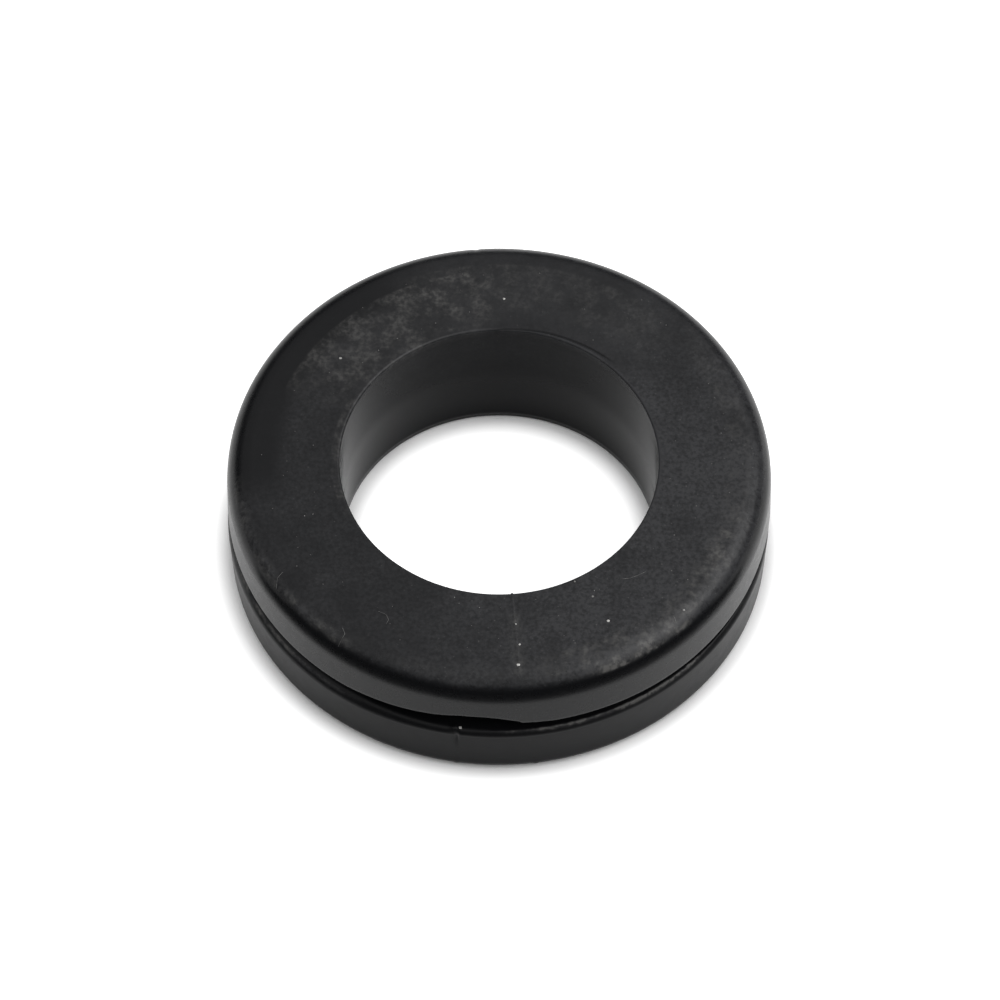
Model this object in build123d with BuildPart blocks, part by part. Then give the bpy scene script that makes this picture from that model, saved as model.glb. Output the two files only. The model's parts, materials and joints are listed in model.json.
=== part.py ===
from build123d import *
import os

# Rubber grommet: one moulded ring with two flanges and a groove between them.
# Millimetres, +Z up. The origin is on the bore's axis, in the plane of the foot.

# Driving dimensions
bore_diameter = 25.0
upper_flange_diameter = 42.8
lower_flange_diameter = 42.7
neck_diameter = 34.0  # floor of the groove
lower_flange_thickness = 5.35
lower_flange_draft = 0.25  # how far its wall leans in towards the foot
groove_width = 1.35
upper_flange_thickness = 5.3

# Edge radii
crown_radius = 2.0  # outer top edge of the upper flange
brim_radius = 0.1  # outer bottom edge of the upper flange
lip_radius = 0.55  # outer top edge of the lower flange
foot_radius = 0.9  # outer bottom edge of the lower flange
groove_root_radius = 0.3  # both inner corners of the groove
bore_edge_radius = 0.2  # both ends of the bore
side_share = 0.45  # most of a side that one rounding may take, so that two never meet

# Radii and levels of the section
bore = bore_diameter / 2
neck = neck_diameter / 2
lower_rim = lower_flange_diameter / 2
foot = lower_rim - lower_flange_draft
upper_rim = upper_flange_diameter / 2
groove_bottom = lower_flange_thickness
groove_top = groove_bottom + groove_width
top = groove_top + upper_flange_thickness

# The section's corners in order, each with the radius of its rounding
outline = (
    ((bore, 0), bore_edge_radius),
    ((foot, 0), foot_radius),
    ((lower_rim, groove_bottom), lip_radius),
    ((neck, groove_bottom), groove_root_radius),
    ((neck, groove_top), groove_root_radius),
    ((upper_rim, groove_top), brim_radius),
    ((upper_rim, top), crown_radius),
    ((bore, top), bore_edge_radius),
)
corners = [Vector(*corner) for corner, _ in outline]


def shorter_side(i):
    """Length of the shorter of the two sides that meet at corner i."""
    side_before = corners[i] - corners[i - 1]
    side_after = corners[(i + 1) % len(corners)] - corners[i]
    return min(side_before.length, side_after.length)


with BuildPart() as grommet:
    with BuildSketch(Plane.XZ) as section:
        with BuildLine():
            Polyline(*corners, close=True)
        make_face()
        for i, (corner, radius) in enumerate(outline):
            vertex = section.vertices().sort_by_distance(corner)[0]
            fillet(vertex, min(radius, side_share * shorter_side(i)))
    revolve(axis=Axis.Z)

grommet.part.label = "grommet"

os.makedirs("parts", exist_ok=True)
export_step(grommet.part, "parts/grommet.step")
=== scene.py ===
import json
import math
import random

import bmesh
import bpy
import numpy as np
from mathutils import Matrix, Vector


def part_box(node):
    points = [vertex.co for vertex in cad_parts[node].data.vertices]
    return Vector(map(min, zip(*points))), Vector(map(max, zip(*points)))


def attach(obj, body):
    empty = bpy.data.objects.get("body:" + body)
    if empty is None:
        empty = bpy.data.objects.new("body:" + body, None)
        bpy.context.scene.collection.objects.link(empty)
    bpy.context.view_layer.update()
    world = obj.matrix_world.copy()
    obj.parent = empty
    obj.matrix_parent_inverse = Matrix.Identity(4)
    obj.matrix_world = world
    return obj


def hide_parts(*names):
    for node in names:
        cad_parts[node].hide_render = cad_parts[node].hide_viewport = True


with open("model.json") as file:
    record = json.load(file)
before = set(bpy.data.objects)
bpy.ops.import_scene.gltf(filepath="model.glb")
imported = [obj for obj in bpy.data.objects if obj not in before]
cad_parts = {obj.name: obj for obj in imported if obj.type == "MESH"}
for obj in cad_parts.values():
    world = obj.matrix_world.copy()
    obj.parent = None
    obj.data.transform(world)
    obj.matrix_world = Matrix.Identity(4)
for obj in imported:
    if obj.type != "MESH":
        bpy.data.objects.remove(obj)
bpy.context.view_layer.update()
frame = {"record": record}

# A black rubber grommet on a white table. Metres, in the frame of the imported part.
# Azimuths are in degrees about +Z from +X, so the camera stands at 270.

MM = 0.001

# ---------------------------------------------------------------- sizes

mounts = {mount["name"]: mount for mount in frame["record"]["mounts"]}
ring_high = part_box("grommet")[1]

# Raised flaws, dust and lint stay inside the part's box, so the plain surface lies this far inside it
TOP_ROOM = 0.05 * MM
RIM_ROOM = 0.01 * MM

BORE = mounts["cable_bore"]["dims"]["r_mm"] * MM
UPPER_RIM = ring_high.x - RIM_ROOM
TOP = ring_high.z - TOP_ROOM
LOWER_RIM = 21.34 * MM
FOOT_RIM = 21.1 * MM
NECK = 17.0 * MM
GROOVE_BOTTOM = 5.36 * MM
GROOVE_TOP = 6.69 * MM

# The upper rim is rounded tightly at first, then more gently down to its wall
CROWN = 1.9 * MM
BROW = 4.0 * MM
CROWN_TURN = math.radians(74)
CROWN_START = UPPER_RIM - BROW + (BROW - CROWN) * math.sin(CROWN_TURN)
WALL_TOP = TOP - CROWN - (BROW - CROWN) * math.cos(CROWN_TURN)

# Roundings of the other corners
BRIM = 0.1 * MM
ROOT = 0.3 * MM
LIP = 0.55 * MM
LIP_WORN = 0.9 * MM
FOOT = 0.9 * MM
BORE_EDGE = 0.22 * MM

# The bore is narrower by WAIST within WAIST_BAND of WAIST_HEIGHT, and by a share of that at the foot
WAIST = 0.25 * MM
WAIST_HEIGHT = 6.3 * MM
WAIST_BAND = 0.4 * MM
WAIST_AT_FOOT = 0.4

# The ceiling of the groove stays still this near the neck where the brim is lifted
STILL_CEILING = 1.5 * MM

# The parting line across the top: its half width in degrees, its height, and the radii where it begins, is
# full, starts to fade and ends
PARTING_WIDTH = 0.3
PARTING_HEIGHT = 0.035 * MM
PARTING_REACH = (12.6 * MM, 12.9 * MM, 19.6 * MM, 20.4 * MM)

# The crease beside the bore, and the band of the top that has close enough points to show it
CREASED_BAND = 0.6 * MM
CREASE_WIDTH = 0.07 * MM
CREASE_DEPTH = 0.1 * MM

# The bead of flash on the lower flange's lip, and the pale line along the crown's edge, which is partly film
# and partly a painted highlight
BEAD_INSET = 0.27 * MM
BEAD_WIDTH = 0.14 * MM
BEAD_HEIGHT = 0.12 * MM
BEAD_UNEVEN = 0.6
RIM_LINE_INSET = 0.75 * MM
RIM_LINE_WIDTH = 0.3 * MM

# How uneven the rim is, outward and upward, and from how far inside the crown
RIM_UNEVEN = 0.012 * MM
TOP_UNEVEN = 0.015 * MM
UNEVEN_REACH = 2.0 * MM

# How far the lower flange sits towards -X
LOWER_SHIFT = 0.05 * MM

# Where the halves of the mould met, and where its groove ring was split
PARTING_FRONT = 274.5
PARTING_BACK = 94.5
RING_SPLIT = 261.6

# Stretches of the ring that carry a mark: the azimuths where it begins, is full, starts to fade and ends
LIP_WEAR = (PARTING_BACK - 4, PARTING_BACK + 8, 232, RING_SPLIT)
LIP_DUST = (178, 195, 218, 240)
LEFT_LINE = (182, 198, 222, 245)
RIGHT_LINE = (285, 300, 318, 335)
BEADED = (262, 282, 318, 345)
# These two stretches paint the bead's glint into the lip with pale film and grey dust
BEAD_PAINTED_GLINT = (264, 290, 308, 326)
BEAD_PAINTED_GLINT_PEAK = (264, 300, 308, 326)
CREASED = (44, 52, 88, 93)
WIPED = (100, 125, 182, 195)
BORE_BACK = (40, 75, 130, 165)
MOTTLED_LESS = (20, 60, 120, 165)

# The dust film. The top has 1 of it, its bore edge has more, and none is left near the crown's outer edge.
EDGE_EXTRA = 0.8
CROWN_FILM_END = (UPPER_RIM - 0.65 * MM, UPPER_RIM - 0.25 * MM)
BORE_FILM = 0.2
BORE_BACK_FILM = 0.45
BORE_FILM_DEPTH = 8.0 * MM
WIPED_SHARE = 0.92
WIPED_FROM = (16.2 * MM, 18.2 * MM)
# On the lip, the film is dust on the left and a painted glint along the bead on the right
LIP_FILM_AND_GLINT = 1.8
LIP_FILM_AND_GLINT_WIDTH = 0.1 * MM

# Where the film is thinner, by how much, and where it is thicker on the right
THINNER = ((0.4, (135, 165, 235, 275)), (0.22, (40, 80, 135, 165)))
THICKER = 0.35
THICKENS = (270, 300)
THINS_AGAIN = (0, 45)

# Pale lines along the crown's edge, partly film and partly a painted highlight, as amount and stretch
RIM_LINES_AND_HIGHLIGHT = ((0.8, LEFT_LINE), (1.3, RIGHT_LINE))

# Coarse dust on the lower flange's lip on the left, and grey that paints the bead's glint on the right, as
# amount and stretch, and how wide it lies
LIP_DUST_AND_GLINT = ((1.5, LIP_DUST), (4, BEAD_PAINTED_GLINT_PEAK))
LIP_DUST_AND_GLINT_WIDTH = 0.09 * MM

# How much less the film is mottled at the back, and how smooth the walls and the crown's start are
MOTTLE_LOSS = 0.7
WALL_POLISH = 0.55
POLISH_STARTS = 0.6 * MM

# How far the brim is lifted above the groove, along its damaged front stretch
BRIM_LIFT = (
    (236, 0.0),
    (246, 0.22 * MM),
    (251, 0.37 * MM),
    (256, 0.58 * MM),
    (259, 0.78 * MM),
    (261.6, 0.98 * MM),
    (267, 1.04 * MM),
    (270, 0.88 * MM),
    (272, 0.68 * MM),
    (274, 0.44 * MM),
    (274.8, 0.22 * MM),
    (282, 0.0),
)

# Small flaws: azimuth, its half width in degrees, radius, height, reach, then the push outward and upward.
# They are the notch and the torn edge at the split, a nib and a swelling on the bore's edge, a dent in the
# back rim and two nubs of flash at the foot.
FLAWS = (
    (261.2, 0.35, 21.3 * MM, 4.6 * MM, 0.8 * MM, -0.16 * MM, 0.0),
    (260.3, 0.60, 21.0 * MM, 5.3 * MM, 0.3 * MM, 0.05 * MM, 0.14 * MM),
    (274.6, 0.35, 12.6 * MM, 11.9 * MM, 0.3 * MM, -0.12 * MM, 0.0),
    (93.3, 1.4, 13.1 * MM, 12.0 * MM, 0.35 * MM, 0.0, 0.04 * MM),
    (95.0, 0.6, 21.0 * MM, 11.0 * MM, 1.2 * MM, -0.06 * MM, 0.0),
    (278.0, 0.7, 20.9 * MM, 0.4 * MM, 0.4 * MM, 0.06 * MM, 0.0),
    (261.0, 0.7, 20.9 * MM, 0.4 * MM, 0.4 * MM, 0.05 * MM, 0.0),
)

# Where coarse dust has settled, and where one zone also paints part of a highlight: azimuth, half width in
# degrees, inner and outer radius, and how much.
# Each zone's sides fade over SETTLED_SOFT degrees, and its inner and outer edges over these lengths.
SETTLED_SOFT = 8
INNER_SOFT = 0.4 * MM
OUTER_SOFT = 0.2 * MM
DUST_AND_HIGHLIGHT_ZONES = (
    (124, 30, 13.2 * MM, 18.3 * MM, 0.42),
    (312, 30, 18.6 * MM, 20.6 * MM, 0.5),
    # This zone is partly settled dust and partly a painted highlight on the crown's front right
    (302, 10, 20.5 * MM, 21.08 * MM, 2.7),
    (150, 50, 12.3 * MM, 13.3 * MM, 0.4),
    (0, 36, 18.0 * MM, 19.9 * MM, 0.2),
    (210, 26, 20.4 * MM, 21.05 * MM, 0.5),
    (255, 20, 19.6 * MM, 20.7 * MM, 0.1),
    (274.5, 1.5, 14.5 * MM, 20.2 * MM, 0.35),
    (78, 34, 14.5 * MM, 19.0 * MM, 0.2),
)

# Larger crumbs on the top, as x, y and width, and hairs that lie on it as lists of x and y, all in mm
CRUMBS = (
    (1.5, -19.2, 0.30),
    (8.5, -15.1, 0.26),
    (7.3, -12.8, 0.20),
    (5.9, -11.4, 0.16),
    (14.4, -14.0, 0.20),
    (-12.5, 9.8, 0.24),
    (0.4, 15.5, 0.22),
    (1.3, -15.4, 0.16),
    (1.6, -17.3, 0.18),
)
HAIRS = (
    ((9.4, -11.2), (10.2, -11.1), (10.9, -10.8), (11.4, -10.5)),
    ((-9.4, -14.2), (-8.8, -14.5), (-8.6, -15.0), (-8.8, -15.4)),
    ((-16.9, -10.5), (-17.3, -10.9), (-17.4, -11.6)),
    ((-12.2, -15.7), (-12.0, -16.2), (-12.5, -16.9)),
    ((13.6, -14.6), (13.7, -14.8), (13.75, -15.0)),
)

# The torn nib beside the split: azimuth, radius, height and width. It takes the crumbs' pale grey, which
# paints its glint.
NIB = (261.7, 20.98 * MM, 5.45 * MM, 0.28 * MM)

# A crumb is this tall, or this share of its width where that is less
CRUMB_HEIGHT = 0.09 * MM
TALLEST_SHARE = 0.6

# The scatter of fine crumbs: how many, the radii they lie between, and their widths
FINE_CRUMBS = 80
SCATTERED = (13.2, 19.0)
FINE_WIDTHS = (0.04, 0.1)

# Hairs are tubes with this many sides, this radius and this many steps to each listed point
HAIR_SIDES = 6
HAIR_RADIUS = 0.016 * MM
HAIR_LIFT = 0.01 * MM
HAIR_STEPS = 6

# The crease beside the bore's edge, as azimuth and radius
CREASE = ((48.5, 13.0 * MM), (62.3, 12.9 * MM), (74.7, 12.81 * MM), (91.7, 12.55 * MM))


# ---------------------------------------------------------------- the ring's mesh


def run(start, end, steps):
    """Points of a straight stretch of the section, without its last."""
    return np.linspace(start, end, steps, endpoint=False)


def arc(centre, radius, start, end, steps):
    """Points of a rounded stretch of the section, without its last."""
    angles = np.radians(np.linspace(start, end, steps, endpoint=False))
    return np.array(centre) + radius * np.column_stack([np.cos(angles), np.sin(angles)])


def section(lip):
    """The ring's closed section: (radius, height) points, and each point's stretch.

    lip is the rounding of the lower flange's top edge.
    """
    crease_end = BORE + BORE_EDGE + CREASED_BAND
    brow_from = 90 - math.degrees(CROWN_TURN)
    taper = -math.degrees(math.atan((LOWER_RIM - FOOT_RIM) / (GROOVE_BOTTOM - lip - FOOT)))
    lip_centre = (LOWER_RIM - lip, GROOVE_BOTTOM - lip)
    skirt_top = arc(lip_centre, lip, taper, 0, 1)[0]
    skirt_end = arc((FOOT_RIM - FOOT, FOOT), FOOT, taper, 0, 1)[0]
    stretches = (
        ("bore", run((BORE, BORE_EDGE), (BORE, TOP - BORE_EDGE), 20)),
        ("edge", arc((BORE + BORE_EDGE, TOP - BORE_EDGE), BORE_EDGE, 180, 90, 6)),
        ("top", run((BORE + BORE_EDGE, TOP), (crease_end, TOP), 14)),
        ("top", run((crease_end, TOP), (CROWN_START, TOP), 38)),
        ("crown", arc((CROWN_START, TOP - CROWN), CROWN, 90, brow_from, 16)),
        ("crown", arc((UPPER_RIM - BROW, WALL_TOP), BROW, brow_from, 0, 8)),
        ("wall", run((UPPER_RIM, WALL_TOP), (UPPER_RIM, GROOVE_TOP + BRIM), 12)),
        ("brim", arc((UPPER_RIM - BRIM, GROOVE_TOP + BRIM), BRIM, 0, -90, 4)),
        ("ceiling", run((UPPER_RIM - BRIM, GROOVE_TOP), (NECK + ROOT, GROOVE_TOP), 10)),
        ("neck", arc((NECK + ROOT, GROOVE_TOP - ROOT), ROOT, 90, 180, 3)),
        ("neck", run((NECK, GROOVE_TOP - ROOT), (NECK, GROOVE_BOTTOM + ROOT), 3)),
        ("neck", arc((NECK + ROOT, GROOVE_BOTTOM + ROOT), ROOT, 180, 270, 3)),
        ("ledge", run((NECK + ROOT, GROOVE_BOTTOM), (LOWER_RIM - lip, GROOVE_BOTTOM), 14)),
        ("lip", arc(lip_centre, lip, 90, taper, 16)),
        ("skirt", run(skirt_top, skirt_end, 18)),
        ("foot", arc((FOOT_RIM - FOOT, FOOT), FOOT, taper, -90, 8)),
        ("foot", run((FOOT_RIM - FOOT, 0), (BORE + BORE_EDGE, 0), 8)),
        ("foot", arc((BORE + BORE_EDGE, BORE_EDGE), BORE_EDGE, 270, 180, 6)),
    )
    points = np.vstack([stretch for _, stretch in stretches])
    names = np.array([name for name, stretch in stretches for _ in stretch])
    return points, names


def columns():
    """Azimuths of the mesh's sections, closer together where the mould left marks."""
    spans = ((0, 45, 1.25), (45, 100, 0.5), (100, 250, 1.25), (250, 285, 0.25), (285, 360, 1.25))
    return np.concatenate([np.arange(*span) for span in spans])


def smooth(x, start, end):
    """0 before start, 1 after end, and a smooth rise between them."""
    t = np.clip((x - start) / (end - start), 0, 1)
    return t * t * (3 - 2 * t)


def span(x, start, full, fading, end):
    """1 from full to fading, and a smooth fall to 0 at start and at end."""
    return smooth(x, start, full) * (1 - smooth(x, fading, end))


def bell(x, centre, width):
    """1 at the centre, falling away on both sides."""
    return np.exp(-(((x - centre) / width) ** 2))


def waves(azimuth, source, count, lowest):
    """A seeded uneven line around the ring, within about -1 to 1, of count waves.

    The longest wave spans 360 / lowest degrees.
    """
    angle = np.radians(azimuth)
    total = np.zeros_like(angle)
    for k in range(lowest, lowest + count):
        total += source.uniform(0.4, 1.0) * np.sin(k * angle + source.uniform(0, math.tau))
    return total / math.sqrt(count)


def lip_radius(azimuth):
    """Rounding of the lower flange's top edge: worn on the left half, up to the split at the front."""
    return LIP + (LIP_WORN - LIP) * span(azimuth, *LIP_WEAR)


def flaws(azimuth, radius, height):
    """The push outward and upward that the table of small flaws gives every point."""
    outward = np.zeros_like(radius)
    upward = np.zeros_like(height)
    for at, half_width, r, z, reach, out, up in FLAWS:
        near = bell(azimuth, at, half_width) * bell(np.hypot(radius - r, height - z), 0, reach)
        outward += out * near
        upward += up * near
    return outward, upward


def lifted_brim(azimuth, radius, height, stretch):
    """The rise of the brim along its damaged stretch, and of the wall and ceiling that follow it."""
    lift_at, lift = np.array(BRIM_LIFT).T
    rise = np.interp(azimuth, lift_at, lift)
    ceiling = smooth(radius, NECK + STILL_CEILING, UPPER_RIM)
    wall = 1 - smooth(height, GROOVE_TOP, WALL_TOP)
    moved = [stretch == "ceiling", stretch == "brim", stretch == "wall"]
    return rise * np.select(moved, [ceiling, np.ones_like(radius), wall], 0.0)


def flash_bead(azimuth, radius, stretch, source):
    """The rise of the thin uneven bead of flash along the lip, right of the split."""
    uneven = 1 + BEAD_UNEVEN * waves(azimuth, source, count=30, lowest=110)
    bead = BEAD_HEIGHT * span(azimuth, *BEADED) * uneven
    return bead * bell(radius, LOWER_RIM - BEAD_INSET, BEAD_WIDTH) * np.isin(stretch, ("ledge", "lip"))


def narrowed_bore(height, stretch):
    """How far the bore's wall stands inward, up to its waist and down again to nothing at the top."""
    heights = (0, WAIST_HEIGHT - WAIST_BAND, WAIST_HEIGHT + WAIST_BAND, TOP)
    return WAIST * np.interp(height, heights, (WAIST_AT_FOOT, 1, 1, 0)) * (stretch == "bore")


def parting_line(azimuth, radius):
    """The rise of the parting line across the front of the top."""
    return PARTING_HEIGHT * bell(azimuth, PARTING_FRONT, PARTING_WIDTH) * span(radius, *PARTING_REACH)


def creased(azimuth, radius):
    """The crease beside the bore: 1 along its middle and 0 away from it."""
    crease_at, crease_radius = np.array(CREASE).T
    return bell(radius, np.interp(azimuth, crease_at, crease_radius), CREASE_WIDTH) * span(azimuth, *CREASED)


def ring_vertices(azimuth, radius, height, stretch):
    """The section's points at every azimuth, with all that the mould and wear have done to them."""
    source = random.Random(7)
    on_top = np.isin(stretch, ("top", "edge", "crown"))
    outward, upward = flaws(azimuth, radius, height)
    upward += lifted_brim(azimuth, radius, height, stretch)
    upward += flash_bead(azimuth, radius, stretch, source)
    outward -= narrowed_bore(height, stretch)
    upward += parting_line(azimuth, radius) * on_top
    upward -= CREASE_DEPTH * creased(azimuth, radius) * on_top

    # Nothing here was made quite round or quite flat
    upper = np.isin(stretch, ("top", "crown", "wall", "brim"))
    rim = smooth(radius, CROWN_START - UNEVEN_REACH, UPPER_RIM) * upper
    outward -= RIM_UNEVEN * (1 + waves(azimuth, source, count=9, lowest=3)) * rim
    upward -= TOP_UNEVEN * (1 + waves(azimuth, source, count=7, lowest=2)) * rim * on_top

    angle = np.radians(azimuth)
    below = np.isin(stretch, ("ledge", "lip", "skirt", "foot"))
    shift = LOWER_SHIFT * below * smooth(radius, BORE + BORE_EDGE, NECK)
    x = (radius + outward) * np.cos(angle) - shift
    y = (radius + outward) * np.sin(angle)
    return np.stack([x, y, height + upward], axis=-1).reshape(-1, 3)


def ring_faces(rows, cols):
    """The faces between neighbouring sections, closed around the ring and around the section."""
    i, j = np.meshgrid(np.arange(rows), np.arange(cols), indexing="ij")
    here, along = i * cols, (i + 1) % rows * cols
    up = (j + 1) % cols
    return np.stack([here + j, here + up, along + up, along + j], axis=-1).reshape(-1, 4)


def ring_mesh():
    """The ring, with what its materials read: the finish of each face, and film, polish and dust. The film
    and dust also carry painted shade in the crease and painted glints.
    """
    columns_at = columns()
    azimuth = columns_at[:, None]
    sections = [section(lip_radius(a))[0] for a in columns_at]
    radius = np.stack([points[:, 0] for points in sections])
    height = np.stack([points[:, 1] for points in sections])
    stretch = section(LIP)[1]

    vertices = ring_vertices(azimuth, radius, height, stretch)
    mesh = bpy.data.meshes.new("grommet_ring")
    mesh.from_pydata(vertices.tolist(), [], ring_faces(*radius.shape).tolist())
    mesh.shade_smooth()
    finish = np.broadcast_to((stretch == "bore") + 2 * (stretch == "skirt"), radius.shape)
    mesh.polygons.foreach_set("material_index", finish.ravel().astype(np.int32))
    put(mesh, "film", dust_film_and_painted_light(azimuth, radius, height, stretch))
    put(mesh, "polish", polish(radius, height, stretch))
    put(mesh, "settled", settled_dust_and_glints(azimuth, radius, stretch))
    put(mesh, "mottled", mottling(azimuth, radius))
    return mesh


def put(mesh, name, values):
    """Stores one number a vertex for the materials to read."""
    mesh.attributes.new(name, "FLOAT", "POINT").data.foreach_set("value", values.ravel().astype(np.float32))


def dust_film_and_painted_light(azimuth, radius, height, stretch):
    """How much pale film lies on the rubber: the top has it and the rounded rim is wiped bare. It is taken
    out along the crease to paint shade there, and it also paints the bead's glint and part of the crown
    edge's highlight.
    """
    flat = np.isin(stretch, ("top", "edge")) + EDGE_EXTRA * (stretch == "edge")
    crown = (stretch == "crown") * (1 - smooth(radius, *CROWN_FILM_END))
    wiped = WIPED_SHARE * smooth(radius, *WIPED_FROM) * span(azimuth, *WIPED)
    thin = sum(amount * span(azimuth, *at) for amount, at in THINNER)
    thick = THICKER * (smooth(azimuth, *THICKENS) + 1 - smooth(azimuth, *THINS_AGAIN))
    # Taking the film out along the crease paints the shade that falls into it; the wiped share is real wear.
    unwiped_and_unshaded = (1 - wiped) * (1 - creased(azimuth, radius))

    bore_film = BORE_FILM + BORE_BACK_FILM * span(azimuth, *BORE_BACK)
    bore = bore_film * (stretch == "bore") * smooth(height, TOP - BORE_FILM_DEPTH, TOP)
    # The crown's pale lines are partly film and partly a painted highlight
    lines = sum(amount * span(azimuth, *at) for amount, at in RIM_LINES_AND_HIGHLIGHT)
    rim_line_and_highlight = lines * bell(radius, UPPER_RIM - RIM_LINE_INSET, RIM_LINE_WIDTH) * crown
    # On the left the lip's line is film; along the bead on the right it is a painted glint
    lip_film_and_glint = LIP_FILM_AND_GLINT * (span(azimuth, *LEFT_LINE) + span(azimuth, *BEAD_PAINTED_GLINT))
    lip_line_and_glint = lip_film_and_glint * bell(radius, LOWER_RIM - BEAD_INSET, LIP_FILM_AND_GLINT_WIDTH) * (stretch == "lip")
    return (flat + crown) * unwiped_and_unshaded * (1 - thin + thick) + bore + rim_line_and_highlight + lip_line_and_glint


def polish(radius, height, stretch):
    """How smooth the mould left the rubber: 1 low on the rounded rim, less on the walls, 0 elsewhere."""
    crown = (stretch == "crown") * smooth(radius, CROWN_START, CROWN_START + POLISH_STARTS)
    lower = smooth(height, TOP - CROWN, WALL_TOP)
    walls = WALL_POLISH * np.isin(stretch, ("wall", "brim", "bore"))
    return crown * (WALL_POLISH + (1 - WALL_POLISH) * lower) + walls


def mottling(azimuth, radius):
    """How strongly the film is mottled: less around the back."""
    return (1 - MOTTLE_LOSS * span(azimuth, *MOTTLED_LESS)) * np.ones_like(radius)


def settled_dust_and_glints(azimuth, radius, stretch):
    """How much coarse dust lies where: the table's zones of the top, and the lower flange's lip. Along the
    lip's bead the grey is a painted glint, and one zone of the top is partly a painted highlight.
    """
    total = np.zeros_like(radius)
    for centre, half_width, inner, outer, amount in DUST_AND_HIGHLIGHT_ZONES:
        away = np.abs((azimuth - centre + 180) % 360 - 180)
        soft = min(SETTLED_SOFT, half_width)
        around = 1 - smooth(away, half_width - soft, half_width + soft)
        across = span(radius, inner - INNER_SOFT, inner + INNER_SOFT, outer - OUTER_SOFT, outer)
        total += amount * around * across * np.isin(stretch, ("top", "edge", "crown"))
    # On the lip's left this is dust; along the bead it is a painted glint
    lip = sum(amount * span(azimuth, *at) for amount, at in LIP_DUST_AND_GLINT)
    return total + lip * bell(radius, LOWER_RIM - BEAD_INSET, LIP_DUST_AND_GLINT_WIDTH) * (stretch == "lip")


# ---------------------------------------------------------------- crumbs and lint


def surface_height(x, y):
    """Height of the plain top or crown over the point x, y."""
    out = max(0.0, math.hypot(x, y) - CROWN_START)
    return TOP - CROWN + math.sqrt(max(0.0, CROWN ** 2 - out ** 2))


def crumb(builder, x, y, z, width, source):
    """A rough flattened grain that sits half sunk at x, y, z."""
    made = bmesh.ops.create_icosphere(builder, subdivisions=2, radius=0.5 * width)
    tall = min(CRUMB_HEIGHT / width, TALLEST_SHARE)
    for vertex in made["verts"]:
        vertex.co *= source.uniform(0.8, 1.1)
        vertex.co.z *= tall
        vertex.co += Vector((x, y, z))


def crumbs_mesh(crumbs):
    """One mesh of crumbs, each given as x, y, z and width."""
    source = random.Random(23)
    builder = bmesh.new()
    for x, y, z, width in crumbs:
        crumb(builder, x, y, z, width, source)
    mesh = bpy.data.meshes.new("crumbs")
    builder.to_mesh(mesh)
    builder.free()
    mesh.shade_smooth()
    return mesh


def large_crumbs_and_glinting_nib():
    """The listed crumbs on the top, and the torn nib beside the lower flange's split, whose pale grey is a
    painted glint.
    """
    crumbs = [(x * MM, y * MM, surface_height(x * MM, y * MM), width * MM) for x, y, width in CRUMBS]
    azimuth, radius, height, width = NIB
    angle = math.radians(azimuth)
    crumbs.append((radius * math.cos(angle), radius * math.sin(angle), height, width))
    return crumbs


def fine_crumbs():
    """A seeded scatter over the top."""
    source = random.Random(41)
    crumbs = []
    for _ in range(FINE_CRUMBS):
        angle = source.uniform(0, math.tau)
        radius = source.uniform(*SCATTERED) * MM
        x, y = radius * math.cos(angle), radius * math.sin(angle)
        crumbs.append((x, y, surface_height(x, y), source.uniform(*FINE_WIDTHS) * MM))
    return crumbs


def hair_line(points):
    """Close points along a hair, a little above the rubber."""
    knots = np.array(points) * MM
    along = np.linspace(0, len(knots) - 1, HAIR_STEPS * len(knots))
    line = np.column_stack([np.interp(along, range(len(knots)), knots[:, k]) for k in (0, 1)])
    return np.array([(x, y, surface_height(x, y) + HAIR_LIFT) for x, y in line])


def hair_circle(point, heading):
    """Corners of a hair's cross-section at a point."""
    side = np.cross(heading, (0, 0, 1))
    side /= np.linalg.norm(side)
    over = np.cross(side, heading) / np.linalg.norm(heading)
    turns = [math.tau * k / HAIR_SIDES for k in range(HAIR_SIDES)]
    return [tuple(point + HAIR_RADIUS * (math.cos(turn) * side + math.sin(turn) * over)) for turn in turns]


def hairs_mesh():
    """Thin closed tubes along each hair's points, lying on the rubber."""
    around = range(HAIR_SIDES)
    vertices, faces = [], []
    for points in HAIRS:
        line = hair_line(points)
        base = len(vertices)
        for point, heading in zip(line, np.gradient(line, axis=0)):
            vertices += hair_circle(point, heading)
        last = base + (len(line) - 1) * HAIR_SIDES
        for a in range(base, last, HAIR_SIDES):
            b = a + HAIR_SIDES
            faces += [(a + k, a + (k + 1) % HAIR_SIDES, b + (k + 1) % HAIR_SIDES, b + k) for k in around]
        faces.append(tuple(base + k for k in reversed(around)))
        faces.append(tuple(last + k for k in around))
    mesh = bpy.data.meshes.new("hairs")
    mesh.from_pydata(vertices, [], faces)
    return mesh


# ---------------------------------------------------------------- materials


def add(tree, kind, inputs=(), **settings):
    """A new node: its settings, then its inputs as values or as sockets to link."""
    node = tree.nodes.new(kind)
    for name, value in settings.items():
        setattr(node, name, value)
    for name, value in dict(inputs).items():
        if isinstance(value, bpy.types.NodeSocket):
            tree.links.new(value, node.inputs[name])
        else:
            node.inputs[name].default_value = value
    return node


def new_material(name):
    """A material, its node tree and its shader."""
    material = bpy.data.materials.new(name)
    material.use_nodes = True
    tree = material.node_tree
    return material, tree, tree.nodes["Principled BSDF"]


# Colours of the rubber, bare and under its film, and of the dust on it. The film's and the dust's colours
# also paint the glint along the lip's bead and part of the highlight on the crown's edge.
CLEAN = (0.0048, 0.005, 0.0058, 1)
DUSTY_AND_GLINTING = (0.0355, 0.0358, 0.0382, 1)
GREY_DUST_AND_GLINT = (0.095, 0.093, 0.09, 1)
SPECK = (0.15, 0.147, 0.14, 1)

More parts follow.
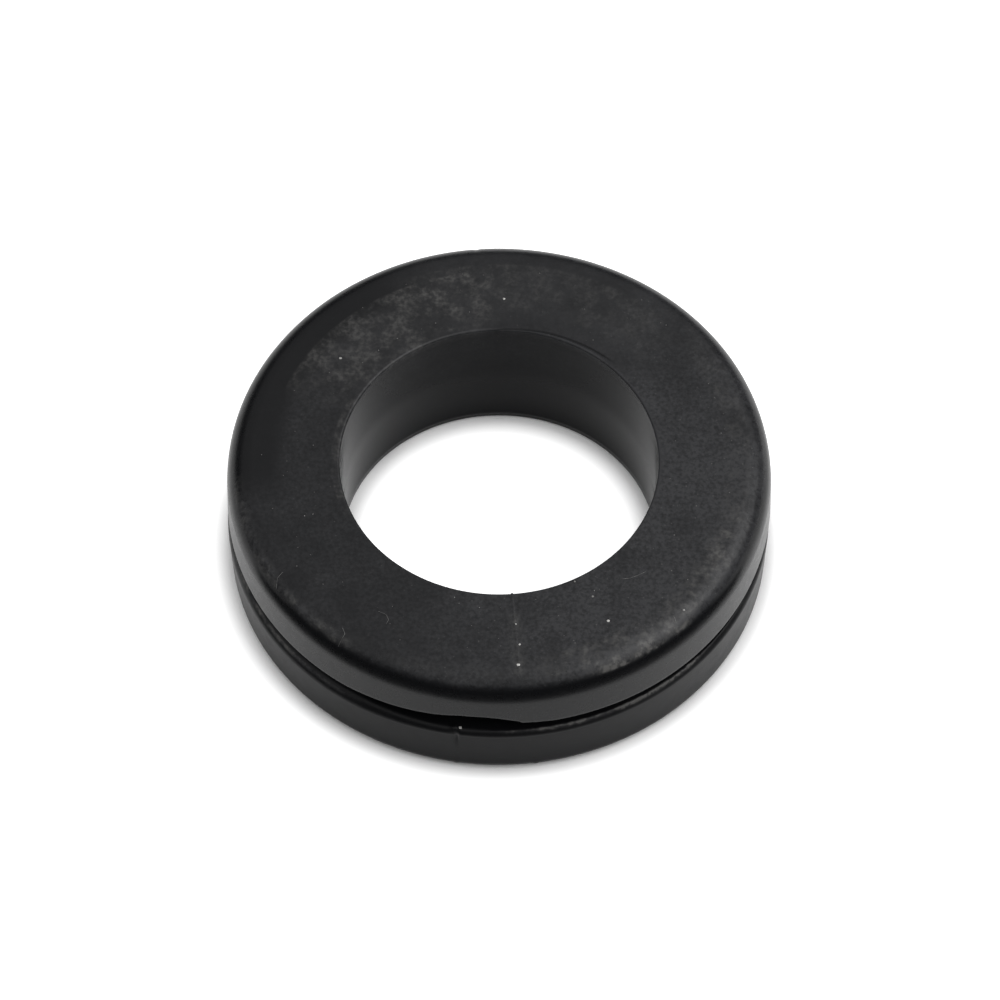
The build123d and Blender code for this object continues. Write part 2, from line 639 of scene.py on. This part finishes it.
# The darkest and the palest of each kind of loose dust. The crumbs' greys also paint the torn nib's glint.
CRUMB_AND_NIB_GLINT_GREYS = ((0.2, 0.197, 0.19, 1), (0.55, 0.54, 0.52, 1))
GRIT_GREYS = ((0.05, 0.05, 0.048, 1), (0.22, 0.215, 0.21, 1))
LINT_GREYS = ((0.06, 0.06, 0.06, 1), (0.17, 0.168, 0.165, 1))
DUST_ROUGHNESS = 0.6

# The ring's finishes: name, IOR, and roughness where it isn't polished. Faces pick them by their place here.
FINISHES = (
    ("black_rubber", 1.26, 0.38),
    ("bore_rubber", 1.15, 0.08),
    ("skirt_rubber", 1.165, 0.3),
)
SHINY = 0.2
GRAIN_DEPTH = 0.02 * MM
GRAIN_STRENGTH = 0.3


def noise(tree, place, scale, detail=2.0, rough=0.5):
    """Noise texture in the object's own millimetres: scale is its features to a millimetre."""
    inputs = {"Vector": place, "Scale": scale / MM, "Detail": detail, "Roughness": rough}
    return add(tree, "ShaderNodeTexNoise", inputs).outputs["Fac"]


def remap(tree, value, low, high, to_low, to_high):
    """The value moved from between low and high to between to_low and to_high."""
    inputs = {"Value": value, "From Min": low, "From Max": high, "To Min": to_low, "To Max": to_high}
    return add(tree, "ShaderNodeMapRange", inputs).outputs[0]


def times(tree, a, b):
    """The product of two values."""
    return add(tree, "ShaderNodeMath", {0: a, 1: b}, operation="MULTIPLY").outputs[0]


def blend(tree, share, a, b):
    """Colour a where share is 0, and b where it is 1."""
    return add(tree, "ShaderNodeMix", {0: share, 6: a, 7: b}, data_type="RGBA").outputs[2]


def attribute(tree, name):
    """A number that put() stored with each vertex."""
    return add(tree, "ShaderNodeAttribute", attribute_name=name).outputs["Fac"]


def rubber_colour(tree, place):
    """Black rubber under its film, its settled dust and its grains of dust. Taking the film out in the
    crease paints shade there, and the film and dust also paint glints on the lip's bead and the crown's
    edge.
    """
    # The film is thicker here and thinner there, over millimetres and over tenths
    patches = remap(tree, noise(tree, place, 0.3, detail=4.0, rough=0.65), 0.32, 0.68, 0.33, 0.72)
    mottle = remap(tree, noise(tree, place, 3.0, rough=0.65), 0.34, 0.66, 0.55, 1.45)
    mottle = blend(tree, attribute(tree, "mottled"), (1, 1, 1, 1), mottle)
    film = times(tree, times(tree, attribute(tree, "film"), patches), mottle)
    colour = blend(tree, film, CLEAN, DUSTY_AND_GLINTING)

    clumps = remap(tree, noise(tree, place, 0.7, detail=3.0, rough=0.6), 0.42, 0.60, 0.15, 1.3)
    coarse = remap(tree, noise(tree, place, 2.6), 0.38, 0.66, 0.2, 0.9)
    settled = times(tree, times(tree, attribute(tree, "settled"), clumps), coarse)
    colour = blend(tree, settled, colour, GREY_DUST_AND_GLINT)

    # Grains of dust: few on the clean rubber, more where the film lies
    grains = remap(tree, noise(tree, place, 6.0, rough=0.6), 0.70, 0.80, 0.0, 1.0)
    held = times(tree, film, remap(tree, noise(tree, place, 0.5), 0.4, 0.6, 0.15, 1.0))
    return blend(tree, times(tree, grains, held), colour, SPECK)


def rubber_grain(tree, place, smoothness):
    """A fine moulded grain that fades out where the rubber is polished."""
    depth = remap(tree, smoothness, 0.0, 0.5, 1.0, 0.05)
    grain = times(tree, noise(tree, place, 5.0, detail=4.0, rough=0.65), depth)
    inputs = {"Height": grain, "Strength": GRAIN_STRENGTH, "Distance": GRAIN_DEPTH}
    return add(tree, "ShaderNodeBump", inputs).outputs["Normal"]


def black_rubber(name, ior, matt):
    """Rubber with this IOR and this roughness where it isn't polished."""
    material, tree, shader = new_material(name)
    place = add(tree, "ShaderNodeTexCoord").outputs["Object"]
    smoothness = attribute(tree, "polish")
    rough = remap(tree, smoothness, 0.0, 1.0, matt, SHINY)
    uneven = remap(tree, noise(tree, place, 1.2, detail=3.0, rough=0.6), 0.3, 0.7, 0.92, 1.1)
    tree.links.new(rubber_colour(tree, place), shader.inputs["Base Color"])
    tree.links.new(times(tree, rough, uneven), shader.inputs["Roughness"])
    tree.links.new(rubber_grain(tree, place, smoothness), shader.inputs["Normal"])
    shader.inputs["IOR"].default_value = ior
    return material


def pale_dust(name, dark, light):
    """Crumbs or hairs, some paler than others."""
    material, tree, shader = new_material(name)
    place = add(tree, "ShaderNodeTexCoord").outputs["Object"]
    pale = remap(tree, noise(tree, place, 1.5), 0.4, 0.6, 0.0, 1.0)
    tree.links.new(blend(tree, pale, dark, light), shader.inputs["Base Color"])
    shader.inputs["Roughness"].default_value = DUST_ROUGHNESS
    return material


# ---------------------------------------------------------------- table, light, camera


WHITE = (1, 1, 1, 1)
TABLE_HALF = 6.0
TABLE_GREY = 0.96

# The table's own glow for the camera and in reflections, which fades out close around the ring
SEEN_GLOW = 0.8
REFLECTED_GLOW = 0.42
SHADED_REACH = 3.0 * MM

# The world: strength overhead and near the horizon, where one turns into the other, and the dimmer back
CEILING = 1.0
HORIZON = 0.02
HORIZON_END = 0.4
CEILING_START = 0.54
BACK_STARTS = 0.1
BACK_FULL = 0.5
BACK_STRENGTH = 0.75

# One panel on the right: all of its light, then more for reflections alone
PANEL = {"azimuth": 2, "elevation": 50, "distance": 0.4, "size": (0.42, 0.3)}
PANEL_RADIANCE = 1.5
GLINT_RADIANCE = 4.2

# The low card between the camera and the ring: it bends around the ring, and is lower at its ends
CARD_AZIMUTH = 270
CARD_REACH = 31.5 * MM
CARD_HEIGHT = 15.5 * MM
CARD_END_HEIGHT = 7.0 * MM
CARD_SWEEP = 76
CARD_POINTS = 41
CARD_GLOW = 0.06

CAMERA_ELEVATION = 56
CAMERA_DISTANCE = 1.171
CAMERA_LENS = 532.8
CAMERA_SENSOR = 36
AIM = Vector((0.07 * MM, 0, 0.542 * TOP))


def table_white():
    """White for the camera and in reflections, and still darker where the ring shades it."""
    material, tree, shader = new_material("table_white")
    shader.inputs["Base Color"].default_value = (TABLE_GREY, TABLE_GREY, TABLE_GREY, 1)
    shader.inputs["Roughness"].default_value = 1.0
    shader.inputs["Specular IOR Level"].default_value = 0.0
    path = add(tree, "ShaderNodeLightPath")
    either = {0: path.outputs["Is Glossy Ray"], 1: path.outputs["Is Transmission Ray"]}
    mirrored = add(tree, "ShaderNodeMath", either, operation="MAXIMUM").outputs[0]
    glows = {
        0: times(tree, path.outputs["Is Camera Ray"], SEEN_GLOW),
        1: times(tree, mirrored, REFLECTED_GLOW),
    }
    glow = add(tree, "ShaderNodeMath", glows, operation="ADD").outputs[0]
    open_sky = add(tree, "ShaderNodeAmbientOcclusion", {"Distance": SHADED_REACH}, samples=8).outputs["AO"]
    shaded = remap(tree, open_sky, 0.5, 0.85, 0.0, 1.0)
    tree.links.new(times(tree, glow, shaded), shader.inputs["Emission Strength"])
    shader.inputs["Emission Color"].default_value = WHITE
    return material


def table():
    """The table's top, which isn't part of the object."""
    half = TABLE_HALF
    corners = [(-half, -half, 0), (half, -half, 0), (half, half, 0), (-half, half, 0)]
    mesh = bpy.data.meshes.new("table")
    mesh.from_pydata(corners, [], [(0, 1, 2, 3)])
    mesh.materials.append(table_white())
    floor = bpy.data.objects.new("table", mesh)
    bpy.context.scene.collection.objects.link(floor)


def studio_world():
    """A pale ceiling that fades to a dark room near the horizon, and is dimmer at the back."""
    world = bpy.data.worlds.new("studio")
    world.use_nodes = True
    tree = world.node_tree
    direction = add(tree, "ShaderNodeTexCoord").outputs["Generated"]
    axes = add(tree, "ShaderNodeSeparateXYZ", {0: direction})
    fade = {
        "Value": axes.outputs["Z"],
        "From Min": HORIZON_END,
        "From Max": CEILING_START,
        "To Min": HORIZON,
        "To Max": CEILING,
    }
    ceiling = add(tree, "ShaderNodeMapRange", fade, interpolation_type="SMOOTHSTEP")
    behind = remap(tree, axes.outputs["Y"], BACK_STARTS, BACK_FULL, 1.0, BACK_STRENGTH)
    background = tree.nodes["Background"]
    background.inputs["Color"].default_value = WHITE
    tree.links.new(times(tree, ceiling.outputs[0], behind), background.inputs["Strength"])
    bpy.context.scene.world = world


def softbox(name, azimuth, elevation, distance, size, radiance, reflections_only=False):
    """An area lamp that faces the ring; a white card in its place would look as bright as radiance."""
    lamp = bpy.data.lights.new(name, "AREA")
    lamp.shape = "RECTANGLE"
    lamp.size, lamp.size_y = size
    lamp.energy = radiance * math.pi * size[0] * size[1]
    a, e = math.radians(azimuth), math.radians(elevation)
    away = Vector((math.cos(a) * math.cos(e), math.sin(a) * math.cos(e), math.sin(e)))
    holder = bpy.data.objects.new(name, lamp)
    holder.location = away * distance
    holder.rotation_euler = away.to_track_quat("Z", "Y").to_euler()
    holder.visible_diffuse = not reflections_only
    bpy.context.scene.collection.objects.link(holder)


def card_grey():
    """A dim even glow that nothing lights."""
    material, tree, shader = new_material("card_grey")
    shader.inputs["Base Color"].default_value = (0, 0, 0, 1)
    shader.inputs["Specular IOR Level"].default_value = 0.0
    shader.inputs["Emission Color"].default_value = WHITE
    shader.inputs["Emission Strength"].default_value = CARD_GLOW
    return material


def dark_card():
    """A low, dim screen around the camera's side of the ring, seen only in the rubber's reflections."""
    sweep = np.linspace(-1, 1, CARD_POINTS)
    angles = np.radians(CARD_AZIMUTH + CARD_SWEEP * sweep)
    heights = CARD_END_HEIGHT + (CARD_HEIGHT - CARD_END_HEIGHT) * (1 - smooth(np.abs(sweep), 0.55, 1.0))
    foot = [(CARD_REACH * math.cos(a), CARD_REACH * math.sin(a), 0) for a in angles]
    head = [(x, y, z) for (x, y, _), z in zip(foot, heights)]
    count = len(foot)
    faces = [(k, k + 1, count + k + 1, count + k) for k in range(count - 1)]
    mesh = bpy.data.meshes.new("dark_card")
    mesh.from_pydata(foot + head, [], faces)
    mesh.materials.append(card_grey())
    card = bpy.data.objects.new("dark_card", mesh)
    bpy.context.scene.collection.objects.link(card)
    card.visible_camera = card.visible_diffuse = card.visible_shadow = False
    card.visible_transmission = card.visible_volume_scatter = False


def camera():
    """A long lens on the -Y side, looking down."""
    elevation = math.radians(CAMERA_ELEVATION)
    data = bpy.data.cameras.new("camera")
    data.sensor_width = CAMERA_SENSOR
    data.lens = CAMERA_LENS
    data.clip_end = 20
    eye = bpy.data.objects.new("camera", data)
    eye.location = (AIM.x, -CAMERA_DISTANCE * math.cos(elevation), CAMERA_DISTANCE * math.sin(elevation))
    eye.rotation_euler = (eye.location - AIM).to_track_quat("Z", "Y").to_euler()
    bpy.context.scene.collection.objects.link(eye)
    bpy.context.scene.camera = eye


# ---------------------------------------------------------------- the scene


def place_piece(name, mesh, materials):
    """A piece of the ring's body, with the given materials."""
    for material in materials:
        mesh.materials.append(material)
    piece = bpy.data.objects.new(name, mesh)
    bpy.context.scene.collection.objects.link(piece)
    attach(piece, "root")
    return piece


ring = place_piece("grommet_ring", ring_mesh(), [black_rubber(*finish) for finish in FINISHES])
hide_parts("grommet")
# The torn nib is among these crumbs, and their pale grey paints its glint
place_piece("crumbs", crumbs_mesh(large_crumbs_and_glinting_nib()), [pale_dust("crumb_grey_and_nib_glint", *CRUMB_AND_NIB_GLINT_GREYS)])
place_piece("fine_grit", crumbs_mesh(fine_crumbs()), [pale_dust("grit_grey", *GRIT_GREYS)])
place_piece("hairs", hairs_mesh(), [pale_dust("lint_grey", *LINT_GREYS)])

table()
dark_card()
studio_world()
softbox("right_softbox", radiance=PANEL_RADIANCE, **PANEL)
softbox("right_glint", radiance=GLINT_RADIANCE, reflections_only=True, **PANEL)
camera()
bpy.context.scene.view_settings.view_transform = "Standard"
